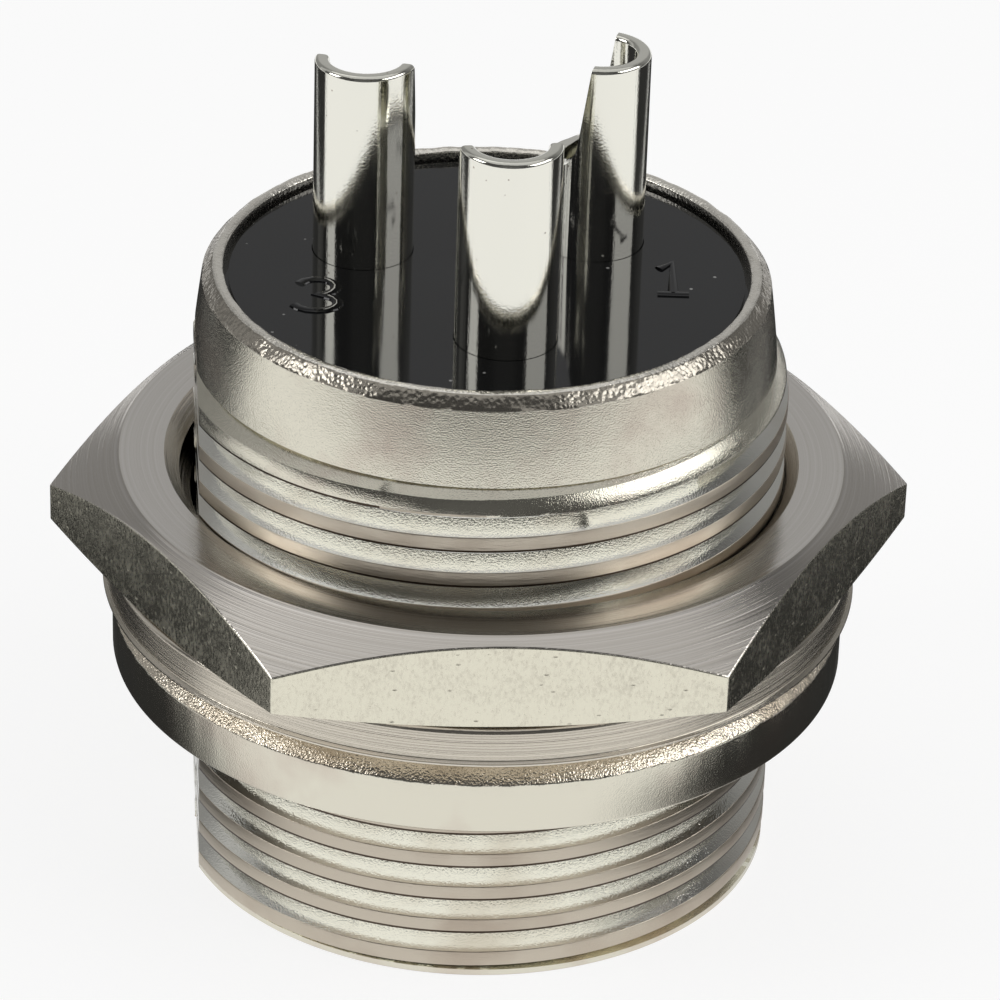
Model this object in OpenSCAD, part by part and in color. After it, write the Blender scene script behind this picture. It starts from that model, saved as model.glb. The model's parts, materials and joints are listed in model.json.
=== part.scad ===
// Panel receptacle of a 16 mm aviation connector, three poles, solder-cup contacts.
// It stands on its front rim. The origin is the centre of that rim, and +Z runs to the solder cups.

/* [Thread] */
// Diameter over the thread crests, a cast M16 x 1 thread
thread_d = 15.8; // [15.5:0.05:16]
// Distance from one crest to the next
thread_pitch = 1; // [0.75:0.05:1.25]
// Width of the flat on each crest
thread_land = 0.42; // [0.2:0.02:0.5]
// Depth of the thread
thread_depth = 0.5; // [0.3:0.02:0.5]
// Depth of the flat left along the mould's parting line, below the crests
parting_depth = 0.45; // [0.1:0.05:0.5]
// Direction of that flat, counted from +X
parting_angle = 185.5; // [0:0.5:359.5]

/* [Shell] */
// Length of the coupling thread in front of the flange
front_len = 5.55; // [4:0.05:9]
// How far the flange that stops the shell against a panel stands out beyond the crests
flange_reach = 1.75; // [1.4:0.05:4]
// Thickness of the flange
flange_t = 2.1; // [1.5:0.1:4]
// Bevel round the flange's rear edge
flange_bevel = 0.7; // [0.2:0.05:0.8]
// Length of the shell behind the flange
rear_len = 9; // [8:0.1:14]
// Length of the plain neck between the rear thread and the rim
neck_len = 2.4; // [1.5:0.05:3]
// Depth of the neck below the crests
neck_step = 0.35; // [0.2:0.05:0.45]
// Wall between the bottom of the thread and the insulators
shell_wall = 0.55; // [0.4:0.05:1]
// Width of the step in the shell that the insulators rest on
seat_step = 0.35; // [0.2:0.05:0.5]
// Depth of the socket, from the front rim to the insulator
socket_depth = 8.2; // [7:0.1:9]
// Width of the keyway in the socket's wall
key_w = 2; // [1:0.1:3]
// Depth of the keyway
key_depth = 0.4; // [0.2:0.05:0.45]
// Bevel that the rolled rear rim has outside, measured across the rim
rim_bevel_w = 0.42; // [0.2:0.02:0.5]
// Height of that bevel
rim_bevel_h = 0.35; // [0.2:0.05:0.5]
// Thickness of the lip that the rim rolls over the insulator
lip_t = 0.5; // [0.4:0.05:0.7]

/* [Insulator] */
// Thickness of the front insulator, which the pins pass through
front_insulator_t = 4.1; // [3:0.1:6]
// How far the rear face sits below the shell's rim
face_recess = 0.32; // [0.2:0.02:0.4]
// How far the rolled rim reaches over the insulator
lip_reach = 0.17; // [0.1:0.01:0.3]

/* [Contact] */
// Diameter of the circle that the contacts stand on
contact_pcd = 6.96; // [6.2:0.02:7.4]
// Direction of the first contact, counted from +X
contact_angle = 38.6; // [0:0.1:119.9]
// Diameter of a pin in the socket
pin_d = 1.8; // [1.2:0.1:2]
// Length of a pin in front of the insulator
pin_len = 6.6; // [4:0.1:6.8]
// Diameter of the collar that the insulators hold
collar_d = 3.3; // [3:0.1:3.6]
// Thickness of the collar
collar_t = 1; // [0.6:0.1:1.5]
// Outer diameter of a solder cup
cup_d = 2.6; // [2.2:0.05:2.8]
// Wall of a solder cup
cup_wall = 0.38; // [0.25:0.01:0.5]
// Height of a solder cup above the insulator
cup_h = 5.4; // [4.5:0.1:8]
// Rounding of a solder cup's top edge
cup_edge = 0.12; // [0.05:0.01:0.15]
// Length of the cut that opens the cup's side
cup_cut = 3.2; // [2:0.1:3.5]
// How far the cut goes past the cup's centre at the top
cup_cut_past = 0.13; // [0:0.01:0.4]
// Lean of the cut's face, towards the open side going down
cup_cut_lean = 8; // [0:1:12]
// Radius of the curve at the bottom of the cut
cup_cut_round = 1; // [0.6:0.05:1.4]
// Direction that cup 1 opens
cup_open_1 = 164; // [0:1:359]
// Direction that cup 2 opens
cup_open_2 = 98; // [0:1:359]
// Direction that cup 3 opens
cup_open_3 = 79; // [0:1:359]

/* [Nut and washer] */
// Width of the washer's ring
washer_w = 1.8; // [1.4:0.05:4]
// Thickness of the washer
washer_t = 1; // [0.6:0.05:1.4]
// Wall of the nut at the middle of its flats
nut_wall = 1.8; // [1.5:0.05:4]
// Height of the nut
nut_h = 2.55; // [2:0.05:3]
// Slope of the nut's bevels
nut_bevel_slope = 30; // [20:1:35]
// Turn of the nut, a corner counted from +X
nut_turn = 4; // [0:0.5:59.5]

/* [Clearance] */
// Room between the nut's bore and the crests, on the radius
nut_clear = 0.05; // [0.02:0.01:0.1]
// Room between the washer's hole and the crests, on the radius
washer_clear = 0.2; // [0.1:0.02:0.3]
// Room round the insulators in the shell, on the radius
insulator_clear = 0.02; // [0.01:0.01:0.05]
// Room round the contacts in the insulators, on the radius
contact_clear = 0.02; // [0.01:0.01:0.05]

/* [Hidden] */
$fn = 96;
flank_angle = 30;
cut_over = 1;

// Shell radii
crest_r = thread_d / 2;
groove_w = thread_pitch - thread_land;
root_r = crest_r - thread_depth;
root_w = max(groove_w - 2 * thread_depth * tan(flank_angle), 0);
neck_r = crest_r - neck_step;
neck_draft = 0.03;
flange_r = crest_r + flange_reach;
flange_root_r = root_r - shell_wall / 2;
seat_r = root_r - shell_wall;
socket_r = seat_r - seat_step;
lip_r = seat_r - lip_reach;
edge_break = 0.1;
mouth_bevel = 0.25;

// Heights along the shell
flange_z = front_len;
panel_z = flange_z + flange_t;
rim_z = panel_z + rear_len;
face_z = rim_z - face_recess;
lip_z = rim_z - lip_t;
neck_z = rim_z - neck_len;
thread_top_z = neck_z - neck_step * tan(flank_angle);
rim_top_r = neck_r - rim_bevel_w;
rim_bevel_z = rim_z - rim_bevel_h;
rim_round = 0.08;

// Grooves of the rear thread run down from its top, and those of the front thread up from the rim
rear_groove_z = thread_top_z - thread_land - groove_w / 2;
rear_grooves = floor((rear_groove_z - groove_w / 2 - panel_z) / thread_pitch);
front_land = 0.75;
front_groove_z = front_land + groove_w / 2;
front_grooves = floor((flange_z - front_groove_z - groove_w / 2) / thread_pitch);

// Insulators and contacts
insulator_r = seat_r - insulator_clear;
face_clear = 0.06;
face_r = lip_r - face_clear;
split_z = socket_depth + front_insulator_t;
pcd_r = contact_pcd / 2;
pin_r = pin_d / 2;
collar_r = collar_d / 2;
cup_r = cup_d / 2;
cup_bore_r = cup_r - cup_wall;
tip_z = socket_depth - pin_len;
tip_bevel = 0.45;
cup_top_z = face_z + cup_h;
cup_cut_z = cup_top_z - cup_cut;
cup_floor = 0.8;
cup_bore_z = cup_cut_z - cup_floor;
contact_spacing = 120;
key_angle = contact_angle + contact_spacing / 2;

// Washer and nut
washer_bore_r = crest_r + washer_clear;
washer_r = washer_bore_r + washer_w;
washer_edge = 0.14;
nut_z = panel_z + washer_t;
nut_top_z = nut_z + nut_h;
nut_bore_r = crest_r + nut_clear;
nut_flat_r = nut_bore_r + nut_wall;
nut_corner_r = nut_flat_r / cos(30);
nut_lead = 0.33;
nut_face_step = 0.3;
nut_face_r = nut_flat_r - nut_face_step;
nut_seat_step = 0.55;
nut_seat_r = nut_flat_r + nut_seat_step;
nut_slope = tan(nut_bevel_slope);
past_corner_r = nut_corner_r + cut_over;

function arc(cx, cz, r, from, to, steps = 6) =
    [for (i = [0 : steps]) let (a = from + (to - from) * i / steps) [cx + r * cos(a), cz + r * sin(a)]];

// One thread groove on the profile, from its lower edge up
function groove(z) = [
    [crest_r, z - groove_w / 2],
    [root_r, z - root_w / 2],
    if (root_w > edge_break / 10) [root_r, z + root_w / 2],
    [crest_r, z + groove_w / 2]
];

// Outside of the barrel from the front rim up to the rolled rear rim
function barrel_outside() = concat(
    [[crest_r - edge_break, 0], [crest_r, edge_break]],
    [for (i = [0 : front_grooves]) each groove(front_groove_z + i * thread_pitch)],
    [for (i = [rear_grooves : -1 : 0]) each groove(rear_groove_z - i * thread_pitch)],
    [[crest_r, thread_top_z], [neck_r, neck_z], [neck_r - neck_draft, rim_bevel_z]],
    [[rim_top_r, rim_z]]
);

// Inside of the barrel from the rolled rim down to the mouth of the socket
function barrel_inside() = concat(
    arc(lip_r + rim_round, rim_z - rim_round, rim_round, 90, 180, 4),
    [[lip_r, lip_z], [seat_r, lip_z], [seat_r, socket_depth], [socket_r, socket_depth]],
    [[socket_r, mouth_bevel], [socket_r + mouth_bevel, 0]]
);

// Threaded tube with the flat of the parting line down one side
module barrel() {
    difference() {
        rotate_extrude()
            polygon(concat(barrel_outside(), barrel_inside()));
        rotate(parting_angle)
            translate([crest_r - parting_depth, -crest_r, -cut_over])
                cube([crest_r, 2 * crest_r, rim_z + 2 * cut_over]);
    }
}

module flange() {
    rotate_extrude()
        polygon([
            [flange_root_r, flange_z], [flange_r - edge_break, flange_z], [flange_r, flange_z + edge_break],
            [flange_r, panel_z - flange_bevel], [flange_r - flange_bevel, panel_z], [flange_root_r, panel_z]
        ]);
}

module shell() {
    color([0.80, 0.78, 0.71])
    difference() {
        union() {
            barrel();
            flange();
        }
        // keyway of the socket
        rotate(key_angle)
            translate([0, -key_w / 2, -cut_over])
                cube([socket_r + key_depth, key_w, socket_depth + cut_over]);
    }
}

module at_contact(n) {
    // Seen on the rear face the contacts run 1, 3, 2 counted the way angles grow
    turn = contact_angle + contact_spacing * [0, 2, 1][n - 1];
    rotate(turn)
        translate([pcd_r, 0, 0])
            rotate(-turn)
                children();
}

module hole(r, from_z, to_z) {
    translate([0, 0, from_z])
        cylinder(r = r, h = to_z - from_z);
}

module front_insulator() {
    color([0.10, 0.10, 0.11])
    difference() {
        hole(insulator_r, socket_depth, split_z);
        for (n = [1 : 3])
            at_contact(n) {
                hole(pin_r + contact_clear, socket_depth - cut_over, split_z + cut_over);
                hole(collar_r + contact_clear, split_z - collar_t, split_z + cut_over);
            }
    }
}

module rear_insulator() {
    color([0.12, 0.12, 0.13])
    difference() {
        union() {
            hole(insulator_r, split_z, lip_z);
            hole(face_r, lip_z, face_z);
        }
        for (n = [1 : 3])
            at_contact(n)
                hole(cup_r + contact_clear, split_z - cut_over, face_z + cut_over);
    }
}

// Material taken off the open side of a cup: a leaning face that curves out at the bottom
module cup_opening() {
    straight = cup_cut - cup_cut_round;
    translate([-cup_cut_past, 0, cup_top_z])
        rotate([0, -cup_cut_lean, 0])
            translate([0, 0, -straight]) {
                translate([cup_cut_round, 0, 0])
                    rotate([90, 0, 0])
                        cylinder(r = cup_cut_round, h = 2 * cup_d, center = true);
                translate([0, -cup_d, 0])
                    cube([2 * cup_d, 2 * cup_d, cup_cut]);
            }
}

module contact(n, open_angle) {
    color([0.86, 0.84, 0.78])
    at_contact(n)
    difference() {
        rotate_extrude()
            polygon([
                [0, tip_z], [pin_r - tip_bevel, tip_z], [pin_r, tip_z + 2 * tip_bevel],
                [pin_r, split_z - collar_t], [collar_r, split_z - collar_t],
                [collar_r, split_z], [cup_r, split_z],
                [cup_r, cup_top_z - cup_edge], [cup_r - cup_edge, cup_top_z],
                [cup_bore_r, cup_top_z], [cup_bore_r, cup_bore_z], [0, cup_bore_z - cup_bore_r / 2]
            ]);
        rotate(open_angle)
            cup_opening();
    }
}

module contact_1() { contact(1, cup_open_1); }
module contact_2() { contact(2, cup_open_2); }
module contact_3() { contact(3, cup_open_3); }

module washer() {
    color([0.83, 0.81, 0.75])
    translate([0, 0, panel_z])
        rotate_extrude()
            polygon([
                [washer_bore_r, 0], [washer_r - washer_edge, 0], [washer_r, washer_edge],
                [washer_r, washer_t - washer_edge], [washer_r - washer_edge, washer_t],
                [washer_bore_r, washer_t]
            ]);
}

module nut() {
    color([0.80, 0.78, 0.72])
    difference() {
        intersection() {
            translate([0, 0, nut_z])
                rotate(nut_turn)
                    cylinder(r = nut_corner_r, h = nut_h, $fn = 6);
            // bevels of both faces, as turned
            rotate_extrude()
                polygon([
                    [0, nut_z], [nut_seat_r, nut_z],
                    [past_corner_r, nut_z + (past_corner_r - nut_seat_r) * nut_slope],
                    [past_corner_r, nut_top_z - (past_corner_r - nut_face_r) * nut_slope],
                    [nut_face_r, nut_top_z], [0, nut_top_z]
                ]);
        }
        rotate_extrude()
            polygon([
                [0, nut_z - cut_over], [nut_bore_r + nut_lead + cut_over, nut_z - cut_over],
                [nut_bore_r, nut_z + nut_lead], [nut_bore_r, nut_top_z - nut_lead],
                [nut_bore_r + nut_lead + cut_over, nut_top_z + cut_over], [0, nut_top_z + cut_over]
            ]);
    }
}

shell();
front_insulator();
rear_insulator();
contact_1();
contact_2();
contact_3();
washer();
nut();
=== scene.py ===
import json
import math

import bmesh
import bpy
from mathutils import Matrix, Vector, noise


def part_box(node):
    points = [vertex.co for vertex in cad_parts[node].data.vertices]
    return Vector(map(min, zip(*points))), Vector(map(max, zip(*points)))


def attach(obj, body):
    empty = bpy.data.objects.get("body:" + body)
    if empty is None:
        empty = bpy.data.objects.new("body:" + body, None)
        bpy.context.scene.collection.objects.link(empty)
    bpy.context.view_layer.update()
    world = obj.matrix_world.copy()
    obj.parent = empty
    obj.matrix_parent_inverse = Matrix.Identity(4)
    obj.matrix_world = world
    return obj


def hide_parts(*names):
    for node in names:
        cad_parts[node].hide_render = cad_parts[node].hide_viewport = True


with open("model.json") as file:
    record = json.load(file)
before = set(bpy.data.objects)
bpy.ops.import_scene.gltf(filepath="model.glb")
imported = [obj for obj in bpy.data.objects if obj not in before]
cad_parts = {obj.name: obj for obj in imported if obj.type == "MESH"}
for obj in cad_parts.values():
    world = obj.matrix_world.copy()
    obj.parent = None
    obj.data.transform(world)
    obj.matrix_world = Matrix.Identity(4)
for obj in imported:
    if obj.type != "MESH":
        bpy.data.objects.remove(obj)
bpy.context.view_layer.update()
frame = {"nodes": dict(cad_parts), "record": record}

# The shell is one zinc casting, nickel plated: a threaded socket in front, a flange, a threaded rear end
# and a neck whose rim is rolled in over the insulator. Its mould parted at the left, where a flat with a
# line of flash runs down both threads, and at the right, where the front thread bulges a little.
mm = 0.001
spin_steps = 240
corner_steps = 3
spare_turns = 2
spin_weld = 0.001 * mm
piece_weld = 0.0005 * mm
plane_weld = 0.0001 * mm
same_height = 0.002 * mm
shell_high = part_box("shell")[1]
washer_low, washer_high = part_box("washer")
thread_mount = next(m for m in frame["record"]["mounts"] if m["name"] == "rear_thread")

# Its threads
pitch = 1.0 * mm
thread_depth = 0.56 * mm
crest_r = thread_mount["dims"]["r_mm"] * mm
root_r = crest_r - thread_depth
crest_w = 0.42 * mm
flank_w = (pitch - crest_w) / 2
crest_round = 0.03 * mm
crest_skin = 0.02 * mm
root_round = 0.03 * mm
# Under each crest the foot leans in, and its faces carry painted shade: a near-black plate for the undercut.
crest_foot_h = 0.07 * mm
crest_foot_in = 0.015 * mm
near_crest_r = crest_r - 2 * crest_foot_in
painted_shade_lean = (-0.6, -0.1)
front_phase = 0.33 * mm
rear_phase = 0.62 * mm
lead_z = 0.2 * mm
lead_r = 7.88 * mm
lead_edge = 0.05 * mm
top_lead_z = 13.62 * mm
top_lead_slope = 0.34
top_flank_z = 14.0 * mm
top_flank_slope = 0.9

# Its flange, which lies against the panel
flange_r = shell_high.x
flange_z = 5.55 * mm
flange_edge = 0.1 * mm
flange_bevel = 0.7 * mm
flange_bevel_rows = 6
flange_dent = 0.035 * mm
flange_dent_w = 0.4 * mm
past_thread_r = crest_r + 0.1 * mm
panel_z = washer_low.z

# Its neck and rolled rim, and the keyed socket inside
neck_z = 14.26 * mm
neck_r = 7.55 * mm
neck_top_r = 7.31 * mm
neck_bend = 1.2
neck_rows = 8
cone_z = 16.28 * mm
rim_r = 6.99 * mm
rim_z = shell_high.z
rim_round = 0.18 * mm
rim_rows = 4
lip_round = 0.06 * mm
rim_dent = 0.035 * mm
rim_dent_w = 0.45 * mm
lip_r = 6.76 * mm
lip_top_z = 16.57 * mm
lip_z = 16.15 * mm
seat_r = 6.85 * mm
socket_r = 6.5 * mm
socket_z = 8.2 * mm
mouth_bevel = 0.2 * mm
key_w = 2.0 * mm
key_r = 6.9 * mm
key_from_r = seat_r - mouth_bevel / 2
key_angle = math.radians(98.6)

# The marks that the mould and the rolling left on it
flat_angle = math.radians(185.5)
flat_r = 7.45 * mm
flash_w = 0.07 * mm
flash_h = 0.036 * mm
flash_grain = 0.15 * mm
seam_w = 0.45 * mm
seam_h = 0.09 * mm
dent_lift = 0.6
dent_shift = Vector((7, 3, 5))


def rounded(outline, closed=False):
    """The points of an outline of (r, z, radius) corners, with an arc at each corner that has a radius."""
    points = []
    for i, (r, z, radius) in enumerate(outline):
        corner = Vector((r, z))
        if radius == 0 or not closed and i in (0, len(outline) - 1):
            points.append(corner)
            continue
        before = (Vector(outline[i - 1][:2]) - corner).normalized()
        after = (Vector(outline[(i + 1) % len(outline)][:2]) - corner).normalized()
        half = before.angle(after) / 2
        centre = corner + (before + after).normalized() * radius / math.sin(half)
        start = corner + before * radius / math.tan(half) - centre
        end = corner + after * radius / math.tan(half) - centre
        for k in range(corner_steps + 1):
            points.append(centre + start.lerp(end, k / corner_steps).normalized() * radius)
    return points


def spun(bm, points, rise=0.0, closed=False, around=spin_steps):
    """Spins an outline about the Z axis, from the front of the part, and lifts it by rise in each turn."""
    verts = [bm.verts.new((0, -r, z)) for r, z in points]
    edges = [bm.edges.new(pair) for pair in zip(verts, verts[1:])]
    if closed:
        edges.append(bm.edges.new((verts[-1], verts[0])))
    bmesh.ops.spin(bm, geom=verts + edges, axis=(0, 0, 1), dvec=(0, 0, rise / around), angle=math.tau,
                   steps=around, use_merge=rise == 0)
    bmesh.ops.remove_doubles(bm, verts=bm.verts, dist=spin_weld)


def thread_tube(corners, phase, low, high):
    """A wall with a helical thread, cut flat at both ends. corners gives one turn's outline at a height."""
    bm = bmesh.new()
    turns = range(math.floor(low / pitch) - spare_turns, math.ceil(high / pitch) + spare_turns)
    spun(bm, rounded([c for turn in turns for c in corners(phase + turn * pitch)]), rise=pitch)
    for z, up in ((low, -1), (high, 1)):
        bmesh.ops.bisect_plane(bm, geom=bm.verts[:] + bm.edges[:] + bm.faces[:], dist=plane_weld,
                               plane_co=(0, 0, z), plane_no=(0, 0, up), clear_outer=True)
    mesh = bpy.data.meshes.new("thread_tube")
    bm.to_mesh(mesh)
    bm.free()
    return mesh


def open_edges(bm, z):
    """The edges of the open ring at one height."""
    return [e for e in bm.edges if e.is_boundary and all(abs(v.co.z - z) < same_height for v in e.verts)]


def carry_on(bm, ring, points):
    """Draws an open ring out along an outline, and gives the open ring that it ends in."""
    for r, z in points:
        drawn = bmesh.ops.extrude_edge_only(bm, edges=ring)["geom"]
        for v in drawn:
            if isinstance(v, bmesh.types.BMVert):
                v.co.xy = v.co.xy.normalized() * r
                v.co.z = z
        ring = [e for e in drawn if isinstance(e, bmesh.types.BMEdge) and e.is_boundary]
    return ring


def dented(chosen, depth, width):
    """Moves vertices in and out a little, as rolling or a worn mould does, in dents of about one width."""
    for v in chosen:
        outwards = Vector((v.co.x, v.co.y, 0)).normalized()
        v.co += outwards * depth * noise.noise(v.co / width)
        v.co.z += dent_lift * depth * noise.noise(v.co / width + dent_shift)


def made_piece(bm, name, body, nodes, materials, sharp=32):
    """Closes a mesh, shades it smooth up to its sharp edges and puts it on its body in place of CAD nodes."""
    bmesh.ops.remove_doubles(bm, verts=bm.verts, dist=piece_weld)
    bmesh.ops.recalc_face_normals(bm, faces=bm.faces)
    for face in bm.faces:
        face.smooth = True
    for edge in bm.edges:
        edge.smooth = not edge.is_manifold or edge.calc_face_angle(0) < math.radians(sharp)
    mesh = bpy.data.meshes.new(name)
    bm.to_mesh(mesh)
    bm.free()
    for material in materials:
        mesh.materials.append(material)
    piece = bpy.data.objects.new(name, mesh)
    bpy.context.scene.collection.objects.link(piece)
    shading = piece.modifiers.new("shading", "WEIGHTED_NORMAL")
    shading.keep_sharp = True
    shading.weight = 100
    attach(piece, body)
    if nodes:
        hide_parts(*nodes)


def shell_thread(foot):
    """One turn of the shell's thread from its crest's foot, whose lower edge leans in and bears painted
    shade.
    """
    return [(crest_r - crest_foot_in, foot, crest_round / 2), (crest_r, foot + crest_foot_h, 0),
            (crest_r, foot + crest_w, crest_round), (root_r, foot + crest_w + flank_w, root_round)]


shell_bm = bmesh.new()
shell_bm.from_mesh(thread_tube(shell_thread, front_phase, lead_z, flange_z))
shell_bm.from_mesh(thread_tube(shell_thread, rear_phase, panel_z, neck_z))
for v in shell_bm.verts:
    lead_limit = crest_r - max(0, v.co.z - top_lead_z) * top_lead_slope
    lead_limit -= max(0, v.co.z - top_flank_z) * top_flank_slope
    if v.co.xy.length > lead_limit:
        v.co.xy = v.co.xy.normalized() * lead_limit

# The neck's rows lie closer towards the rim, so that the bend there shades cleanly.
neck_parts = [1 - (1 - k / neck_rows) ** 2 for k in range(neck_rows + 1)]
neck = [(neck_r - (neck_r - neck_top_r) * part ** neck_bend, neck_z + (cone_z - neck_z) * part)
        for part in neck_parts]
rim = rounded([(neck_top_r, cone_z, 0), (rim_r, rim_z, rim_round), (lip_r, lip_top_z, lip_round),
               (lip_r, lip_z, 0)])
fine_rim = [a.lerp(b, k / rim_rows) for a, b in zip(rim, rim[1:]) for k in range(1, rim_rows + 1)]
carry_on(shell_bm, open_edges(shell_bm, neck_z), neck + fine_rim)
carry_on(shell_bm, open_edges(shell_bm, lead_z),
         [(lead_r, lead_z), (lead_r, lead_edge), (lead_r - lead_edge, 0)])

# The flat of the parting line, with its flash, and the bulge of the mould's other seam
flat_way = Vector((math.cos(flat_angle), math.sin(flat_angle), 0))
along_flat = Vector((-flat_way.y, flat_way.x, 0))
cuts = [(flat_way, flat_r), (along_flat, -flash_w), (along_flat, 0), (along_flat, flash_w)]
for way, reach in cuts:
    bmesh.ops.bisect_plane(shell_bm, geom=shell_bm.verts[:] + shell_bm.edges[:] + shell_bm.faces[:],
                           dist=plane_weld, plane_co=way * reach, plane_no=way)
for v in shell_bm.verts:
    ahead = v.co.dot(flat_way)
    if ahead > flat_r:
        v.co -= flat_way * (ahead - flat_r)
        if abs(v.co.dot(along_flat)) < flash_w / 2:
            v.co += flat_way * flash_h * (1 + noise.noise(v.co / flash_grain))
    aside = v.co.dot(along_flat) / seam_w
    on_crest = v.co.z < flange_z and v.co.xy.length > near_crest_r
    if ahead < -root_r and abs(aside) < 1 and on_crest:
        v.co -= flat_way * seam_h * (1 - aside ** 2)

dented([v for v in shell_bm.verts
        if v.co.z > cone_z + rim_round / 4 and v.co.xy.length > lip_r + lip_round / 4], rim_dent, rim_dent_w)

inside = [(seat_r, lip_z), (seat_r, socket_z), (socket_r, socket_z), (socket_r, mouth_bevel),
          (socket_r + mouth_bevel, 0)]
front_rim = open_edges(shell_bm, 0)
mouth = carry_on(shell_bm, open_edges(shell_bm, lip_z), inside)
for v in shell_bm.verts:
    aside = v.co.x * -math.sin(key_angle) + v.co.y * math.cos(key_angle)
    ahead = v.co.x * math.cos(key_angle) + v.co.y * math.sin(key_angle)
    if ahead > 0 and abs(aside) < key_w / 2 and v.co.z < lip_z and v.co.xy.length < key_from_r:
        v.co.xy = v.co.xy.normalized() * key_r
bmesh.ops.bridge_loops(shell_bm, edges=mouth + front_rim)

flange = rounded([(root_r, flange_z, 0), (flange_r, flange_z, flange_edge),
                  (flange_r, panel_z - flange_bevel, flange_edge), (flange_r - flange_bevel, panel_z, 0)])
slope_top, slope_foot = flange[-1], flange[-2]
slope = [slope_foot.lerp(slope_top, k / flange_bevel_rows) for k in range(1, flange_bevel_rows + 1)]
rear_foot = open_edges(shell_bm, panel_z)
flange_top = carry_on(shell_bm, open_edges(shell_bm, flange_z), flange[1:-1] + slope)
bmesh.ops.bridge_loops(shell_bm, edges=flange_top + rear_foot)
dented([v for v in shell_bm.verts
        if v.co.xy.length > past_thread_r and v.co.z > panel_z - flange_bevel - flange_edge],
       flange_dent, flange_dent_w)


def add_node(tree, kind, inputs=(), **settings):
    """Adds a shader node with its settings, and sets its inputs to values or links them to other outputs."""
    made = tree.nodes.new(kind)
    for name, value in settings.items():
        setattr(made, name, value)
    for name, value in dict(inputs).items():
        if isinstance(value, bpy.types.NodeSocket):
            tree.links.new(value, made.inputs[name])
        else:
            made.inputs[name].default_value = value
    return made


def maths(tree, operation, *values):
    """Works out one value from values or outputs."""
    return add_node(tree, "ShaderNodeMath", dict(enumerate(values)), operation=operation).outputs[0]


def fade(tree, value, start, end, at_start=0.0, at_end=1.0, course="LINEAR"):
    """Goes from at_start to at_end while the value goes from start to end, and stays there beyond."""
    limits = {"Value": value, "From Min": start, "From Max": end, "To Min": at_start, "To Max": at_end}
    return add_node(tree, "ShaderNodeMapRange", limits, interpolation_type=course).outputs["Result"]


def effect(name, sizes):
    """Starts a surface effect: a node group that takes sizes and gives a Height and a Tone."""
    tree = bpy.data.node_groups.new(name, "ShaderNodeTree")
    for label, value in sizes.items():
        socket = tree.interface.new_socket(label, in_out="INPUT", socket_type="NodeSocketFloat")
        socket.default_value = value
    for label in ("Height", "Tone"):
        tree.interface.new_socket(label, in_out="OUTPUT", socket_type="NodeSocketFloat")
    taken = tree.nodes.new("NodeGroupInput").outputs
    place = add_node(tree, "ShaderNodeTexCoord").outputs["Object"]
    return tree, taken, place, tree.nodes.new("NodeGroupOutput").inputs


def give(tree, given, height, tone):
    """Ends a surface effect."""
    tree.links.new(height, given["Height"])
    tree.links.new(tone, given["Tone"])


def plated(name, skin, sizes, bright, dull, smooth, rough, depth):
    """A nickel plate whose colour and roughness follow an effect's Tone, with its Height as relief."""
    material = bpy.data.materials.new(name)
    material.use_nodes = True
    tree = material.node_tree
    metal = tree.nodes["Principled BSDF"]
    metal.inputs["Metallic"].default_value = 1.0
    surface = add_node(tree, "ShaderNodeGroup", node_tree=skin)
    for label, value in sizes.items():
        surface.inputs[label].default_value = value
    tone = surface.outputs["Tone"]
    # A Mix node's two colours are its inputs 6 and 7, and the colour that it gives is its output 2.
    tint = add_node(tree, "ShaderNodeMix", {0: tone, 6: (*bright, 1), 7: (*dull, 1)}, data_type="RGBA")
    relief = add_node(tree, "ShaderNodeBump", {"Height": surface.outputs["Height"], "Distance": depth})
    tree.links.new(tint.outputs[2], metal.inputs["Base Color"])
    tree.links.new(fade(tree, tone, 0.0, 1.0, smooth, rough), metal.inputs["Roughness"])
    tree.links.new(relief.outputs["Normal"], metal.inputs["Normal"])
    return material


# The casting's skin: a fine sandy grain, faint streaks round the axis and a few stained patches
cast_skin, taken, place, given = effect(
    "cast_skin", {"Grain Scale": 28000.0, "Streak Scale": 12000.0, "Streak": 0.15})
grain = add_node(cast_skin, "ShaderNodeTexNoise",
                 {"Vector": place, "Scale": taken["Grain Scale"], "Detail": 1.0, "Roughness": 0.6})
streak_place = add_node(cast_skin, "ShaderNodeMapping", {"Vector": place, "Scale": (0.12, 0.12, 1.5)})
streaks = add_node(cast_skin, "ShaderNodeTexNoise",
                   {"Vector": streak_place.outputs[0], "Scale": taken["Streak Scale"], "Detail": 2.0})
stain = add_node(cast_skin, "ShaderNodeTexNoise", {"Vector": place, "Scale": 420.0, "Detail": 4.0})
give(cast_skin, given,
     maths(cast_skin, "MULTIPLY_ADD", streaks.outputs[0], taken["Streak"], grain.outputs[0]),
     fade(cast_skin, stain.outputs[0], start=0.48, end=0.70))

# The plate is brownish on the flange's coarse bevel. The threads carry painted light and shade: a dimmer
# tan copy on the crests and the foot band, a paler copy on the flanks and a near-black copy under the crests.
cast_nickel = plated("cast_nickel", cast_skin, {}, (0.74, 0.71, 0.60), (0.66, 0.59, 0.50),
                     smooth=0.18, rough=0.26, depth=0.007 * mm)
# Painted highlight: a paler copy of the plate that makes the threads' flanks look brightly lit.
painted_lit_flank = plated("painted_lit_flank", cast_skin, {"Grain Scale": 20000.0},
                      (0.92, 0.91, 0.84), (0.85, 0.82, 0.74),
                      smooth=0.10, rough=0.16, depth=0.005 * mm)
# Painted shade: a dimmer tan copy of the plate for the crest lands and the front foot band, for the darker
# floor they reflect.
painted_dim_nickel = plated("painted_dim_nickel", cast_skin, {"Streak": 1.5}, (0.58, 0.52, 0.43), (0.50, 0.43, 0.35),
                     smooth=0.34, rough=0.42, depth=0.006 * mm)
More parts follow.
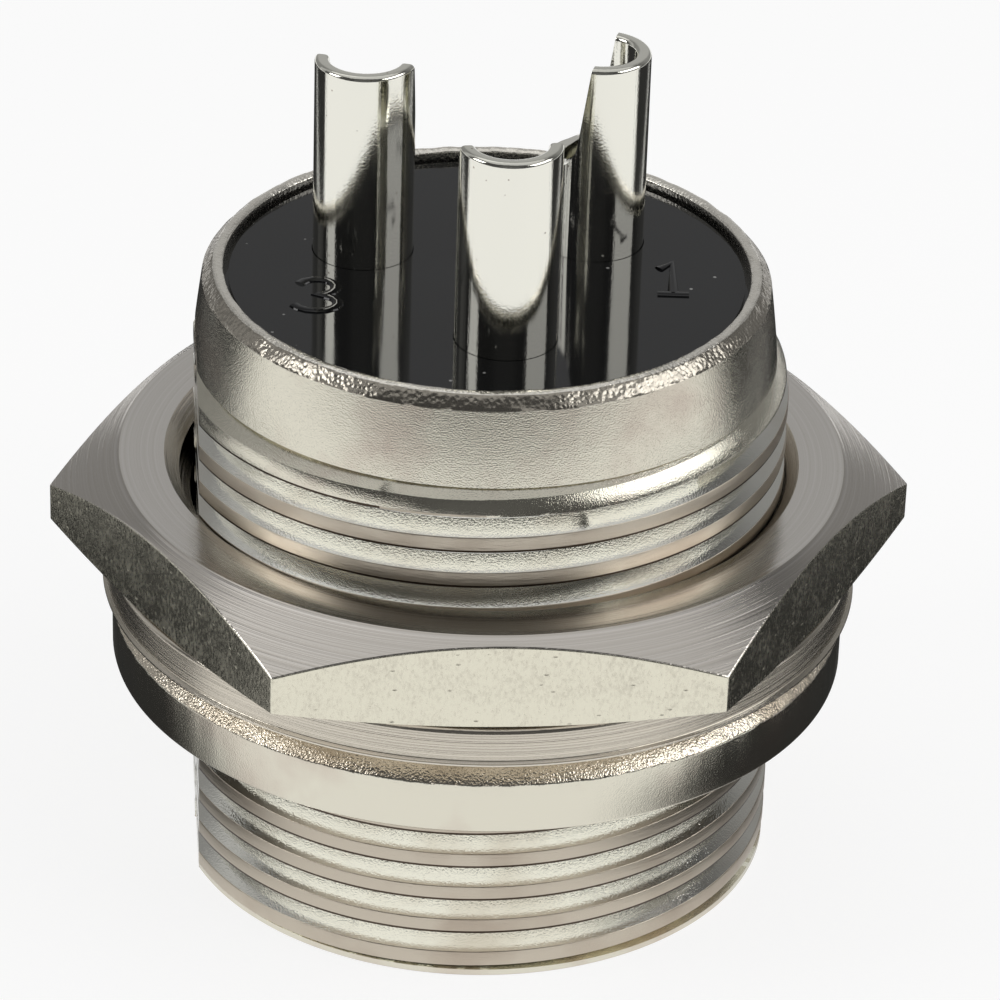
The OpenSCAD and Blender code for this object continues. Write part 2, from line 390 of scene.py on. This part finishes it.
# Painted shade: a near-black copy of the plate for the leaning faces under each crest, where the undercut is
# in shade.
painted_undercut_shade = plated("painted_undercut_shade", cast_skin, {}, (0.08, 0.06, 0.045), (0.05, 0.035, 0.025),
                       smooth=0.35, rough=0.45, depth=0.006 * mm)
coarse_nickel = plated("coarse_nickel", cast_skin, {"Grain Scale": 17000.0},
                       (0.78, 0.71, 0.59), (0.58, 0.50, 0.39),
                       smooth=0.16, rough=0.26, depth=0.024 * mm)

# The rolled rim's skin: the small dents of the rolling, side by side
rolled_grain = 0.4
rolled_skin, taken, place, given = effect("rolled_skin", {"Dent Scale": 8500.0})
dents = add_node(rolled_skin, "ShaderNodeTexVoronoi",
                 {"Vector": place, "Scale": taken["Dent Scale"], "Smoothness": 0.4}, feature="SMOOTH_F1")
grain = add_node(rolled_skin, "ShaderNodeTexNoise", {"Vector": place, "Scale": 16000.0, "Detail": 2.0})
give(rolled_skin, given,
     maths(rolled_skin, "MULTIPLY_ADD", grain.outputs[0], rolled_grain, dents.outputs["Distance"]),
     dents.outputs["Distance"])
# Painted shade: a darker copy of the rolled plate for the outer roll.
rolled_nickel = plated("rolled_nickel", rolled_skin, {}, (0.46, 0.43, 0.37), (0.38, 0.35, 0.30),
                       smooth=0.18, rough=0.30, depth=0.014 * mm)
# Painted light: a near-white copy of the rolled plate for the land inside the lip.
painted_lit_land = plated("painted_lit_land", rolled_skin, {"Dent Scale": 11000.0},
                     (0.95, 0.92, 0.84), (0.84, 0.80, 0.72),
                     smooth=0.20, rough=0.30, depth=0.010 * mm)

shell_plates = [cast_nickel, rolled_nickel, painted_dim_nickel, coarse_nickel, painted_lit_flank, painted_lit_land,
                painted_undercut_shade]
bmesh.ops.recalc_face_normals(shell_bm, faces=shell_bm.faces)
for face in shell_bm.faces:
    middle = face.calc_center_median()
    reach = middle.xy.length
    plate = cast_nickel
    # The outer roll gets the darker rolled plate and the land the near-white one: painted shade and painted
    # light.
    if middle.z > cone_z and reach > lip_r - lip_round:
        plate = rolled_nickel if reach > rim_r + rim_round / 4 else painted_lit_land
    elif reach > past_thread_r and middle.z > panel_z - flange_bevel:
        plate = coarse_nickel
    elif middle.z < flange_z or panel_z < middle.z < neck_z:
        # The faces that lean down under the crests get painted shade.
        leans = painted_shade_lean[0] < face.normal.z < painted_shade_lean[1]
        if reach > near_crest_r and leans and middle.z > lead_z + crest_w:
            plate = painted_undercut_shade
        # Crest lands and the front foot band get the dimmer tan plate, painted shade.
        elif reach > crest_r - crest_skin and middle.z > lead_z or middle.z < lead_edge:
            plate = painted_dim_nickel
        # The flanks get the paler plate, a painted highlight.
        elif reach > root_r - root_round and lead_z < middle.z < top_lead_z:
            plate = painted_lit_flank
    face.material_index = shell_plates.index(plate)
made_piece(shell_bm, "cast_shell", "receptacle", ["shell"], shell_plates)

# The two insulators are glossy black mouldings. The rear one closes the shell behind, and its face shows
# the contacts' numbers, raised from the mould, and a little dust.
insulator_face_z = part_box("rear_insulator")[1].z
insulator_ior = 1.42
insulator_rough = (0.03, 0.09)
insulator_black = (0.004, 0.0043, 0.005, 1)
dust_grey = (0.35, 0.35, 0.34, 1)


def black_moulding(name):
    """Black plastic with a slightly uneven gloss and a few specks of dust."""
    material = bpy.data.materials.new(name)
    material.use_nodes = True
    tree = material.node_tree
    plastic = tree.nodes["Principled BSDF"]
    plastic.inputs["IOR"].default_value = insulator_ior
    place = add_node(tree, "ShaderNodeTexCoord").outputs["Object"]
    dust = add_node(tree, "ShaderNodeTexVoronoi", {"Vector": place, "Scale": 1100.0}, feature="F1")
    speck = fade(tree, dust.outputs["Distance"], start=0.035, end=0.06, at_start=1.0, at_end=0.0)
    colour = add_node(tree, "ShaderNodeMix", {0: speck, 6: insulator_black, 7: dust_grey}, data_type="RGBA")
    haze = add_node(tree, "ShaderNodeTexNoise", {"Vector": place, "Scale": 700.0, "Detail": 3.0})
    wave = add_node(tree, "ShaderNodeTexNoise", {"Vector": place, "Scale": 500.0, "Detail": 1.0})
    relief = add_node(tree, "ShaderNodeBump", {"Height": wave.outputs[0], "Distance": 0.002 * mm})
    tree.links.new(colour.outputs[2], plastic.inputs["Base Color"])
    tree.links.new(fade(tree, haze.outputs[0], 0.0, 1.0, *insulator_rough), plastic.inputs["Roughness"])
    tree.links.new(relief.outputs["Normal"], plastic.inputs["Normal"])
    return material


black_insulator = black_moulding("black_insulator")
for name in ("front_insulator", "rear_insulator"):
    node = frame["nodes"][name]
    node.data.materials.clear()
    node.data.materials.append(black_insulator)

numeral_h = 1.75 * mm
numeral_w = 1.15 * mm
stroke_r = 0.15 * mm
stroke_rise = 0.38
arc_steps = 10


def arc(cx, cy, rx, ry, start, end):
    """Points on an oval arc between two angles in degrees."""
    turns = [math.radians(start + (end - start) * k / arc_steps) for k in range(arc_steps + 1)]
    return [(cx + rx * math.cos(t), cy + ry * math.sin(t)) for t in turns]


# Strokes of the numerals in a box one wide and one high, about its middle, and their places in mm
numerals = {
    "numeral_1": ([[(-0.25, 0.3), (0.05, 0.5), (0.05, -0.5)], [(-0.3, -0.5), (0.4, -0.5)]], (4.70, 0.05)),
    "numeral_2": ([arc(0, 0.22, 0.45, 0.28, 165, -35) + [(-0.45, -0.5), (0.48, -0.5)]], (0.5, -1.2)),
    "numeral_3": ([arc(-0.05, 0.25, 0.42, 0.25, 160, -90) + arc(-0.05, -0.25, 0.5, 0.25, 90, -160)],
                  (-4.25, -1.5)),
}
for name, (strokes, (x, y)) in numerals.items():
    curve = bpy.data.curves.new(name, "CURVE")
    curve.dimensions = "3D"
    curve.bevel_depth = stroke_r
    curve.bevel_resolution = 3
    curve.use_fill_caps = True
    for points in strokes:
        spline = curve.splines.new("POLY")
        spline.points.add(len(points) - 1)
        for point, (u, v) in zip(spline.points, points):
            point.co = (u * numeral_w, v * numeral_h, 0, 1)
    drawn = bpy.data.objects.new(name + "_stroke", curve)
    mesh = bpy.data.meshes.new_from_object(drawn)
    bpy.data.objects.remove(drawn)
    lift = Matrix.Translation((x * mm, y * mm, insulator_face_z))
    mesh.transform(lift @ Matrix.Diagonal((1, 1, stroke_rise, 1)))
    numeral_bm = bmesh.new()
    numeral_bm.from_mesh(mesh)
    made_piece(numeral_bm, name, "receptacle", [], [black_insulator])

# Each contact is turned from brass and plated bright: a pin in the socket, a collar between the insulators
# and a solder cup behind, which is milled open on one side with a leaning cut.
pin_r = 0.9 * mm
pin_tip = 0.45 * mm
collar_r = 1.65 * mm
collar_low_z = 11.3 * mm
collar_z = 12.3 * mm
cup_r = 1.3 * mm
cup_bore_r = 0.92 * mm
cup_bore_z = 17.73 * mm
cup_edge = 0.12 * mm
cutter_w = 4 * cup_r
cup_cut_h = 3.2 * mm
cup_cut_past = 0.13 * mm
cup_cut_round = 1.0 * mm
cutter_top = 2 * cup_cut_round
cup_cut_sweep = 120
cup_cut_steps = 10
cup_cut_lean = math.radians(8)
cup_cut_edge = 0.08 * mm
cup_milled_z = cup_bore_z + 0.1 * mm
cup_milled_angle = math.radians(35)
contact_steps = 96
cup_openings = {"contact_1": 164, "contact_2": 98, "contact_3": 79}


def cup_cutter(top_z, opening):
    """The space that the milling cutter leaves on a cup's open side."""
    bm = bmesh.new()
    straight = cup_cut_h - cup_cut_round
    foot = [math.radians(180 + cup_cut_sweep * k / cup_cut_steps) for k in range(cup_cut_steps + 1)]
    outline = [(0, cutter_top)]
    outline += [(cup_cut_round * (1 + math.cos(a)), cup_cut_round * math.sin(a) - straight) for a in foot]
    outline += [(cutter_w, outline[-1][1]), (cutter_w, cutter_top)]
    side = bm.faces.new([bm.verts.new((x, -cutter_w / 2, z)) for x, z in outline])
    drawn = bmesh.ops.extrude_face_region(bm, geom=[side])["geom"]
    across = [v for v in drawn if isinstance(v, bmesh.types.BMVert)]
    bmesh.ops.translate(bm, verts=across, vec=(0, cutter_w, 0))
    bmesh.ops.recalc_face_normals(bm, faces=bm.faces)
    place = (Matrix.Rotation(math.radians(opening), 4, "Z") @ Matrix.Translation((-cup_cut_past, 0, top_z))
             @ Matrix.Rotation(-cup_cut_lean, 4, "Y"))
    bm.transform(place)
    mesh = bpy.data.meshes.new("cup_cutter")
    bm.to_mesh(mesh)
    bm.free()
    return mesh


def cut_away(bm, cutter_mesh):
    """The mesh with the cutter's space taken out of it."""
    mesh = bpy.data.meshes.new("uncut")
    bm.to_mesh(mesh)
    bm.free()
    uncut = bpy.data.objects.new("uncut", mesh)
    cutter = bpy.data.objects.new("cutter", cutter_mesh)
    for thing in (uncut, cutter):
        bpy.context.scene.collection.objects.link(thing)
    milling = uncut.modifiers.new("milling", "BOOLEAN")
    milling.operation = "DIFFERENCE"
    milling.solver = "EXACT"
    milling.object = cutter
    bpy.context.view_layer.update()
    cut = bpy.data.meshes.new_from_object(uncut.evaluated_get(bpy.context.evaluated_depsgraph_get()))
    for thing in (uncut, cutter):
        bpy.data.objects.remove(thing)
    left = bmesh.new()
    left.from_mesh(cut)
    return left


# Bright plate: fine lines along the drawn rod, a faint grain and a few dark specks
bright_grain = 0.35
bright_skin, taken, place, given = effect("bright_skin", {"Line Scale": 7000.0, "Speck Size": 0.07})
drawn_place = add_node(bright_skin, "ShaderNodeMapping", {"Vector": place, "Scale": (1, 1, 0.03)})
lines = add_node(bright_skin, "ShaderNodeTexNoise",
                 {"Vector": drawn_place.outputs[0], "Scale": taken["Line Scale"], "Detail": 3.0})
grain = add_node(bright_skin, "ShaderNodeTexNoise", {"Vector": place, "Scale": 16000.0, "Detail": 2.0})
specks = add_node(bright_skin, "ShaderNodeTexVoronoi", {"Vector": place, "Scale": 2600.0})
give(bright_skin, given,
     maths(bright_skin, "MULTIPLY_ADD", grain.outputs[0], bright_grain, lines.outputs[0]),
     maths(bright_skin, "LESS_THAN", specks.outputs["Distance"], taken["Speck Size"]))
bright_nickel = plated("bright_nickel", bright_skin, {}, (0.84, 0.83, 0.75), (0.50, 0.45, 0.38),
                       smooth=0.10, rough=0.25, depth=0.005 * mm)

for name, opening in cup_openings.items():
    low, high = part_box(name)
    centre = (low + high) / 2
    contact_bm = bmesh.new()
    outline = rounded([
        (0, low.z, 0), (pin_r - pin_tip, low.z, pin_tip / 3), (pin_r, low.z + 2 * pin_tip, pin_tip),
        (pin_r, collar_low_z, 0), (collar_r, collar_low_z, 0), (collar_r, collar_z, 0), (cup_r, collar_z, 0),
        (cup_r, high.z, cup_edge), (cup_bore_r, high.z, cup_edge),
        (cup_bore_r, cup_bore_z, 0), (0, cup_bore_z - cup_bore_r / 2, 0)])
    spun(contact_bm, outline, around=contact_steps)
    bmesh.ops.recalc_face_normals(contact_bm, faces=contact_bm.faces)
    contact_bm = cut_away(contact_bm, cup_cutter(high.z, opening))
    milled = [e for e in contact_bm.edges if e.is_manifold and e.verts[0].co.z > cup_milled_z
              and e.calc_face_angle(0) > cup_milled_angle]
    bmesh.ops.bevel(contact_bm, geom=milled, offset=cup_cut_edge, segments=3, profile=0.5, affect="EDGES",
                    clamp_overlap=True, material=-1)
    bmesh.ops.translate(contact_bm, verts=contact_bm.verts, vec=(centre.x, centre.y, 0))
    made_piece(contact_bm, name + "_plated", "receptacle", [name], [bright_nickel],
               sharp=40)

# The washer is a flat ring, stamped and plated: its upper edge is round, and a burr is left round the lower
# edge. It lies loose on the flange.
washer_r = washer_high.x
washer_bore_r = crest_r + 0.2 * mm
washer_round = 0.12 * mm
washer_burr = 0.1 * mm
washer_burr_h = 0.07 * mm
washer_burr_rise = 0.05 * mm
washer_burr_round = 0.03 * mm

# Turned faces: fine rings round the axis, uneven in depth, with a few bright nicks
ring_lean = 0.8
nick_h = 3.0
turned_skin, taken, place, given = effect("turned_skin", {"Ring Scale": 9000.0, "Nick Size": 0.05})
flat_place = add_node(turned_skin, "ShaderNodeVectorMath", {0: place, 1: (1, 1, 0)}, operation="MULTIPLY")
radius = add_node(turned_skin, "ShaderNodeVectorMath", {0: flat_place.outputs[0]}, operation="LENGTH")
height = add_node(turned_skin, "ShaderNodeSeparateXYZ", {0: place}).outputs["Z"]
along = maths(turned_skin, "MULTIPLY_ADD", height, ring_lean, radius.outputs["Value"])
ring_place = maths(turned_skin, "MULTIPLY", along, taken["Ring Scale"])
rings = add_node(turned_skin, "ShaderNodeTexNoise",
                 {"W": ring_place, "Scale": 1.0, "Detail": 4.0, "Roughness": 0.65}, noise_dimensions="1D")
nicks = add_node(turned_skin, "ShaderNodeTexVoronoi", {"Vector": place, "Scale": 2300.0})
nick = maths(turned_skin, "LESS_THAN", nicks.outputs["Distance"], taken["Nick Size"])
give(turned_skin, given,
     maths(turned_skin, "MULTIPLY_ADD", nick, nick_h, rings.outputs[0]),
     fade(turned_skin, rings.outputs[0], start=0.35, end=0.65))

polished_nickel = plated("polished_nickel", turned_skin, {"Ring Scale": 30000.0, "Nick Size": 0.03},
                         (0.70, 0.65, 0.56), (0.62, 0.57, 0.48),
                         smooth=0.12, rough=0.18, depth=0.009 * mm)
washer_bm = bmesh.new()
washer_wall_r = washer_r - washer_burr
spun(washer_bm, rounded([
    (washer_bore_r, washer_low.z, washer_round), (washer_r, washer_low.z, washer_burr_round),
    (washer_r, washer_low.z + washer_burr_h, washer_burr_round),
    (washer_wall_r, washer_low.z + washer_burr_h + washer_burr_rise, washer_burr_round),
    (washer_wall_r, washer_high.z, washer_round), (washer_bore_r, washer_high.z, washer_round)],
    closed=True), closed=True)
made_piece(washer_bm, "flat_washer", "washer", ["washer"], [polished_nickel])

# The nut is turned and threaded from hexagon bar and plated: its two faces and their bevels carry turning
# rings, and its flats keep the pits and scratches of the bar.
nut_low, nut_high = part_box("nut")
nut_top_z = nut_high.z
nut_sides = 6
nut_flat_r = 9.75 * mm
nut_face_r = 9.45 * mm
nut_seat_r = 9.45 * mm
nut_seat_slope = 0.27
nut_slope = math.tan(math.radians(30))
nut_turn = math.radians(34)
nut_past_r = 12 * mm
nut_bore_r = crest_r + 0.05 * mm
nut_lead = 0.33 * mm
nut_tooth_r = 7.6 * mm
nut_tooth_w = 0.12 * mm
nut_tooth_base = 0.52 * mm
nut_tooth_z = rear_phase + crest_w + flank_w
nut_edge = 0.035 * mm
nut_bevel_lean = (0.3, 0.97)

turned_nickel = plated("turned_nickel", turned_skin, {"Ring Scale": 14000.0, "Nick Size": 0.06},
                       (0.75, 0.72, 0.68), (0.70, 0.67, 0.62),
                       smooth=0.10, rough=0.16, depth=0.002 * mm)
bevel_nickel = plated("bevel_nickel", turned_skin, {"Ring Scale": 16000.0, "Nick Size": 0.04},
                      (0.76, 0.72, 0.67), (0.66, 0.62, 0.56),
                      smooth=0.10, rough=0.20, depth=0.014 * mm)

# Flats of bar stock: dull flecks and scratches of many sizes, and a few short pits along the bar
fleck_crowd = 0.25
pit_h = -0.8
bar_skin, taken, place, given = effect("bar_skin", {"Fleck Scale": 11000.0, "Pit Scale": 2300.0})
fleck_place = add_node(bar_skin, "ShaderNodeMapping",
                       {"Vector": place, "Rotation": (0.35, 0.35, 0), "Scale": (1, 1, 0.55)})
flecks = add_node(bar_skin, "ShaderNodeTexNoise",
                  {"Vector": fleck_place.outputs[0], "Scale": taken["Fleck Scale"],
                   "Detail": 5.0, "Roughness": 0.72})
crowd = add_node(bar_skin, "ShaderNodeTexNoise", {"Vector": place, "Scale": 1400.0, "Detail": 1.0})
close = maths(bar_skin, "MULTIPLY_ADD", crowd.outputs[0], fleck_crowd, flecks.outputs[0])
pit_place = add_node(bar_skin, "ShaderNodeMapping", {"Vector": place, "Scale": (0.7, 0.7, 1.6)})
pits = add_node(bar_skin, "ShaderNodeTexVoronoi",
                {"Vector": pit_place.outputs[0], "Scale": taken["Pit Scale"]})
pit = fade(bar_skin, pits.outputs["Distance"], start=0.04, end=0.13, at_start=1.0, at_end=0.0)
give(bar_skin, given,
     maths(bar_skin, "MULTIPLY_ADD", pit, pit_h, flecks.outputs[0]),
     maths(bar_skin, "MAXIMUM", fade(bar_skin, close, start=0.58, end=0.94), pit))
bar_nickel = plated("bar_nickel", bar_skin, {}, (0.77, 0.74, 0.61), (0.70, 0.66, 0.55),
                    smooth=0.18, rough=0.55, depth=0.010 * mm)
nut_plates = [turned_nickel, bar_nickel, bevel_nickel]
turned_plate, bar_plate, bevel_plate = range(len(nut_plates))


def nut_thread(middle):
    """One turn of the nut's thread, about the middle of its tooth."""
    return [(nut_bore_r, middle - nut_tooth_base / 2, root_round),
            (nut_tooth_r, middle - nut_tooth_w / 2, root_round),
            (nut_tooth_r, middle + nut_tooth_w / 2, root_round),
            (nut_bore_r, middle + nut_tooth_base / 2, root_round)]


nut_bm = bmesh.new()
bore_low, bore_high = nut_low.z + nut_lead, nut_top_z - nut_lead
nut_bm.from_mesh(thread_tube(nut_thread, nut_tooth_z, bore_low, bore_high))
nut_drop = (nut_past_r - nut_face_r) * nut_slope
nut_lift = (nut_past_r - nut_seat_r) * nut_seat_slope
mouth_r = nut_bore_r + nut_lead
upper = carry_on(nut_bm, open_edges(nut_bm, bore_high),
                 [(mouth_r, nut_top_z), (nut_face_r, nut_top_z), (nut_past_r, nut_top_z - nut_drop)])
lower = carry_on(nut_bm, open_edges(nut_bm, bore_low),
                 [(mouth_r, nut_low.z), (nut_seat_r, nut_low.z), (nut_past_r, nut_low.z + nut_lift)])
bmesh.ops.bridge_loops(nut_bm, edges=upper + lower)
bmesh.ops.recalc_face_normals(nut_bm, faces=nut_bm.faces)
for k in range(nut_sides):
    angle = nut_turn + math.tau * k / nut_sides
    way = Vector((math.cos(angle), math.sin(angle), 0))
    bmesh.ops.bisect_plane(nut_bm, geom=nut_bm.verts[:] + nut_bm.edges[:] + nut_bm.faces[:],
                           dist=plane_weld, plane_co=way * nut_flat_r, plane_no=way, clear_outer=True)
    cut_edges = [e for e in nut_bm.edges if e.is_boundary]
    flat = bmesh.ops.contextual_create(nut_bm, geom=cut_edges)["faces"]
    for face in flat:
        face.material_index = bar_plate
flats_edges = [e for e in nut_bm.edges if any(f.material_index == bar_plate for f in e.link_faces)]
bmesh.ops.bevel(nut_bm, geom=flats_edges, offset=nut_edge, segments=2, profile=0.5, affect="EDGES",
                clamp_overlap=True, material=-1)
nut_bm.normal_update()
for face in nut_bm.faces:
    if face.material_index == turned_plate and nut_bevel_lean[0] < face.normal.z < nut_bevel_lean[1]:
        face.material_index = bevel_plate
made_piece(nut_bm, "hex_nut", "nut", ["nut"], nut_plates, sharp=12)

# The studio: a white floor, black cards at both sides and in front that only the metal shows, a grey tent
# and two soft lamps. The cards at the right are painted shadow: they stand for the part's own shadow on the
# floor there. None of it belongs to the part.
floor_half = 1.5
floor_glow = 0.82
floor_grey = (0.25, 0.25, 0.25, 1)
card_z = 0.05 * mm
card_black = (0.03, 0.03, 0.03, 1)
tent_r = 0.6
tent_front = 0.08
tent_grey = 0.30
tent_low = 1.38
tent_over = 0.5
tent_side = 0.3
tent_wide = 0.6
lamp_aim_z = 10 * mm


def stage_mesh(bm, name, material):
    """Stands a mesh in the studio, beside the part."""
    mesh = bpy.data.meshes.new(name)
    bm.to_mesh(mesh)
    bm.free()
    mesh.materials.append(material)
    thing = bpy.data.objects.new(name, mesh)
    bpy.context.scene.collection.objects.link(thing)
    return thing


def stage_material(name):
    """A material with no shader yet, its nodes and the socket that takes its shader."""
    material = bpy.data.materials.new(name)
    material.use_nodes = True
    tree = material.node_tree
    tree.nodes.remove(tree.nodes["Principled BSDF"])
    return material, tree, tree.nodes["Material Output"].inputs["Surface"]


floor_white, tree, surface = stage_material("floor_white")
path = add_node(tree, "ShaderNodeLightPath").outputs
seen = maths(tree, "MAXIMUM", path["Is Camera Ray"], path["Is Glossy Ray"])
shows = maths(tree, "MAXIMUM", seen, path["Is Transmission Ray"])
white = add_node(tree, "ShaderNodeEmission",
                 {"Color": (1, 1, 1, 1), "Strength": maths(tree, "MULTIPLY", shows, floor_glow)})
paper = add_node(tree, "ShaderNodeBsdfDiffuse", {"Color": floor_grey})
lit = add_node(tree, "ShaderNodeAddShader", {0: white.outputs[0], 1: paper.outputs[0]})
tree.links.new(lit.outputs[0], surface)
floor_bm = bmesh.new()
bmesh.ops.create_grid(floor_bm, x_segments=1, y_segments=1, size=floor_half)
stage_mesh(floor_bm, "floor", floor_white)


def card(name, low, high, soft):
    """A black card on the floor, which only reflections show. soft is the width of its soft edges."""
    material, tree, surface = stage_material(name)
    place = add_node(tree, "ShaderNodeTexCoord").outputs["Object"]
    sides = add_node(tree, "ShaderNodeSeparateXYZ", {0: place}).outputs
    covers = []
    for axis in (0, 1):
        middle, half = (low[axis] + high[axis]) / 2, (high[axis] - low[axis]) / 2
        reach = maths(tree, "ABSOLUTE", maths(tree, "SUBTRACT", sides[axis], middle))
        covers.append(fade(tree, reach, half - soft, half, 1.0, 0.0, "SMOOTHSTEP"))
    cover = maths(tree, "MULTIPLY", *covers)
    clear = add_node(tree, "ShaderNodeBsdfTransparent")
    black = add_node(tree, "ShaderNodeEmission", {"Color": card_black})
    mix = add_node(tree, "ShaderNodeMixShader", {0: cover, 1: clear.outputs[0], 2: black.outputs[0]})
    tree.links.new(mix.outputs[0], surface)
    bm = bmesh.new()
    bmesh.ops.create_grid(bm, x_segments=1, y_segments=1, size=0.5)
    bmesh.ops.scale(bm, verts=bm.verts, vec=(high[0] - low[0], high[1] - low[1], 1))
    bmesh.ops.translate(bm, verts=bm.verts, vec=((low[0] + high[0]) / 2, (low[1] + high[1]) / 2, card_z))
    thing = stage_mesh(bm, name, material)
    thing.visible_camera = False
    thing.visible_diffuse = False
    thing.visible_shadow = False
    thing.visible_transmission = False


card("card_left", (-37 * mm, -10.5 * mm), (-5.5 * mm, 60 * mm), 7 * mm)
card("card_left_far", (-160 * mm, 3 * mm), (-29 * mm, 90 * mm), 8 * mm)
# Painted shadow: these two black cards at the right stand for the part's shadow on the floor, which the metal
# shows.
card("right_shadow_card", (5.5 * mm, -16 * mm), (37 * mm, 60 * mm), 7 * mm)
card("far_right_shadow_card", (29 * mm, 1 * mm), (160 * mm, 90 * mm), 8 * mm)
card("card_front", (-400 * mm, -400 * mm), (400 * mm, -62 * mm), 12 * mm)

tent_cloth, cloth, surface = stage_material("tent_cloth")
place = add_node(cloth, "ShaderNodeTexCoord").outputs["Object"]
sides = add_node(cloth, "ShaderNodeSeparateXYZ", {0: place}).outputs


def cloth_fade(value, start, end, at_start=0.0, at_end=1.0):
    """A soft change of the tent's glow between two places, given as parts of its radius."""
    return fade(cloth, value, start * tent_r, end * tent_r, at_start, at_end, "SMOOTHSTEP")


# The tent glows behind the part, most of all low down in the middle
behind = cloth_fade(sides["Y"], 0.1, 0.7, tent_front, tent_grey)
low = cloth_fade(sides["Z"], 0.5, 0.75, tent_low, 1.0)
wide = cloth_fade(maths(cloth, "ABSOLUTE", sides["X"]), 0.2, 0.5, 1.0, tent_wide)
back = maths(cloth, "MULTIPLY", behind, wide)
# It glows overhead, up to its front end
over = cloth_fade(sides["Z"], 0.74, 0.84, 0.0, tent_over)
front_end = cloth_fade(sides["Y"], -0.52, -0.40)
roof = maths(cloth, "MULTIPLY", over, front_end)
shade = maths(cloth, "MULTIPLY_ADD", back, low, roof)
# And it glows at the left, a little behind the part
at_side = cloth_fade(sides["X"], 0.1, -0.3, 0.0, tent_side)
side_start = cloth_fade(sides["Y"], 0.05, 0.3)
side_end = cloth_fade(sides["Y"], 0.55, 0.40)
side_part = maths(cloth, "MULTIPLY", side_start, side_end)
whole = maths(cloth, "MULTIPLY_ADD", at_side, side_part, shade)
tent_glow = add_node(cloth, "ShaderNodeEmission", {"Color": (1, 1, 1, 1), "Strength": whole})
cloth.links.new(tent_glow.outputs[0], surface)
tent_bm = bmesh.new()
bmesh.ops.create_uvsphere(tent_bm, u_segments=48, v_segments=24, radius=tent_r)
bmesh.ops.bisect_plane(tent_bm, geom=tent_bm.verts[:] + tent_bm.edges[:] + tent_bm.faces[:],
                       plane_co=(0, 0, 0), plane_no=(0, 0, -1), clear_outer=True)
tent = stage_mesh(tent_bm, "tent", tent_cloth)
tent.visible_camera = False
tent.visible_transmission = False
tent.visible_shadow = False


def lamp(name, azimuth, elevation, distance, size, glow):
    """A soft lamp that faces the part. glow is its brightness, where 1 is white."""
    light = bpy.data.lights.new(name, "AREA")
    light.shape = "RECTANGLE"
    light.size, light.size_y = size
    light.energy = glow * math.pi * size[0] * size[1]
    around, up = math.radians(azimuth), math.radians(elevation)
    way = Vector((math.cos(around) * math.cos(up), math.sin(around) * math.cos(up), math.sin(up)))
    thing = bpy.data.objects.new(name, light)
    thing.matrix_world = (Matrix.Translation(way * distance + Vector((0, 0, lamp_aim_z)))
                          @ way.to_track_quat("Z", "Y").to_matrix().to_4x4())
    bpy.context.scene.collection.objects.link(thing)


lamp("lamp_left", azimuth=194, elevation=31, distance=0.25, size=(0.09, 0.09), glow=4.4)
lamp("lamp_right", azimuth=344, elevation=33, distance=0.25, size=(0.21, 0.11), glow=2.8)

world = bpy.data.worlds.new("studio_white")
world.use_nodes = True
world.node_tree.nodes["Background"].inputs["Color"].default_value = (1, 1, 1, 1)
world.node_tree.nodes["Background"].inputs["Strength"].default_value = 1.0
bpy.context.scene.world = world
bpy.context.scene.view_settings.view_transform = "Standard"

# The camera stands at the photograph's place, a little above the part and slightly rolled.
view_elevation = math.radians(29.379)
view_roll = math.radians(1.878)
view_distance = 136.056 * mm
view_aim = Vector((0.520, 0, 9.700)) * mm
view_lens = 186.61

ahead = Vector((0, math.cos(view_elevation), -math.sin(view_elevation)))
level = Vector((1, 0, 0))
upright = level.cross(ahead)
right = level * math.cos(view_roll) + upright * math.sin(view_roll)
up = upright * math.cos(view_roll) - level * math.sin(view_roll)
lens = bpy.data.cameras.new("camera")
lens.lens = view_lens
lens.sensor_width = 36
lens.clip_start = 0.01
lens.clip_end = 10
camera = bpy.data.objects.new("camera", lens)
turn = Matrix((right, up, -ahead)).transposed().to_4x4()
camera.matrix_world = Matrix.Translation(view_aim - ahead * view_distance) @ turn
bpy.context.scene.collection.objects.link(camera)
bpy.context.scene.camera = camera
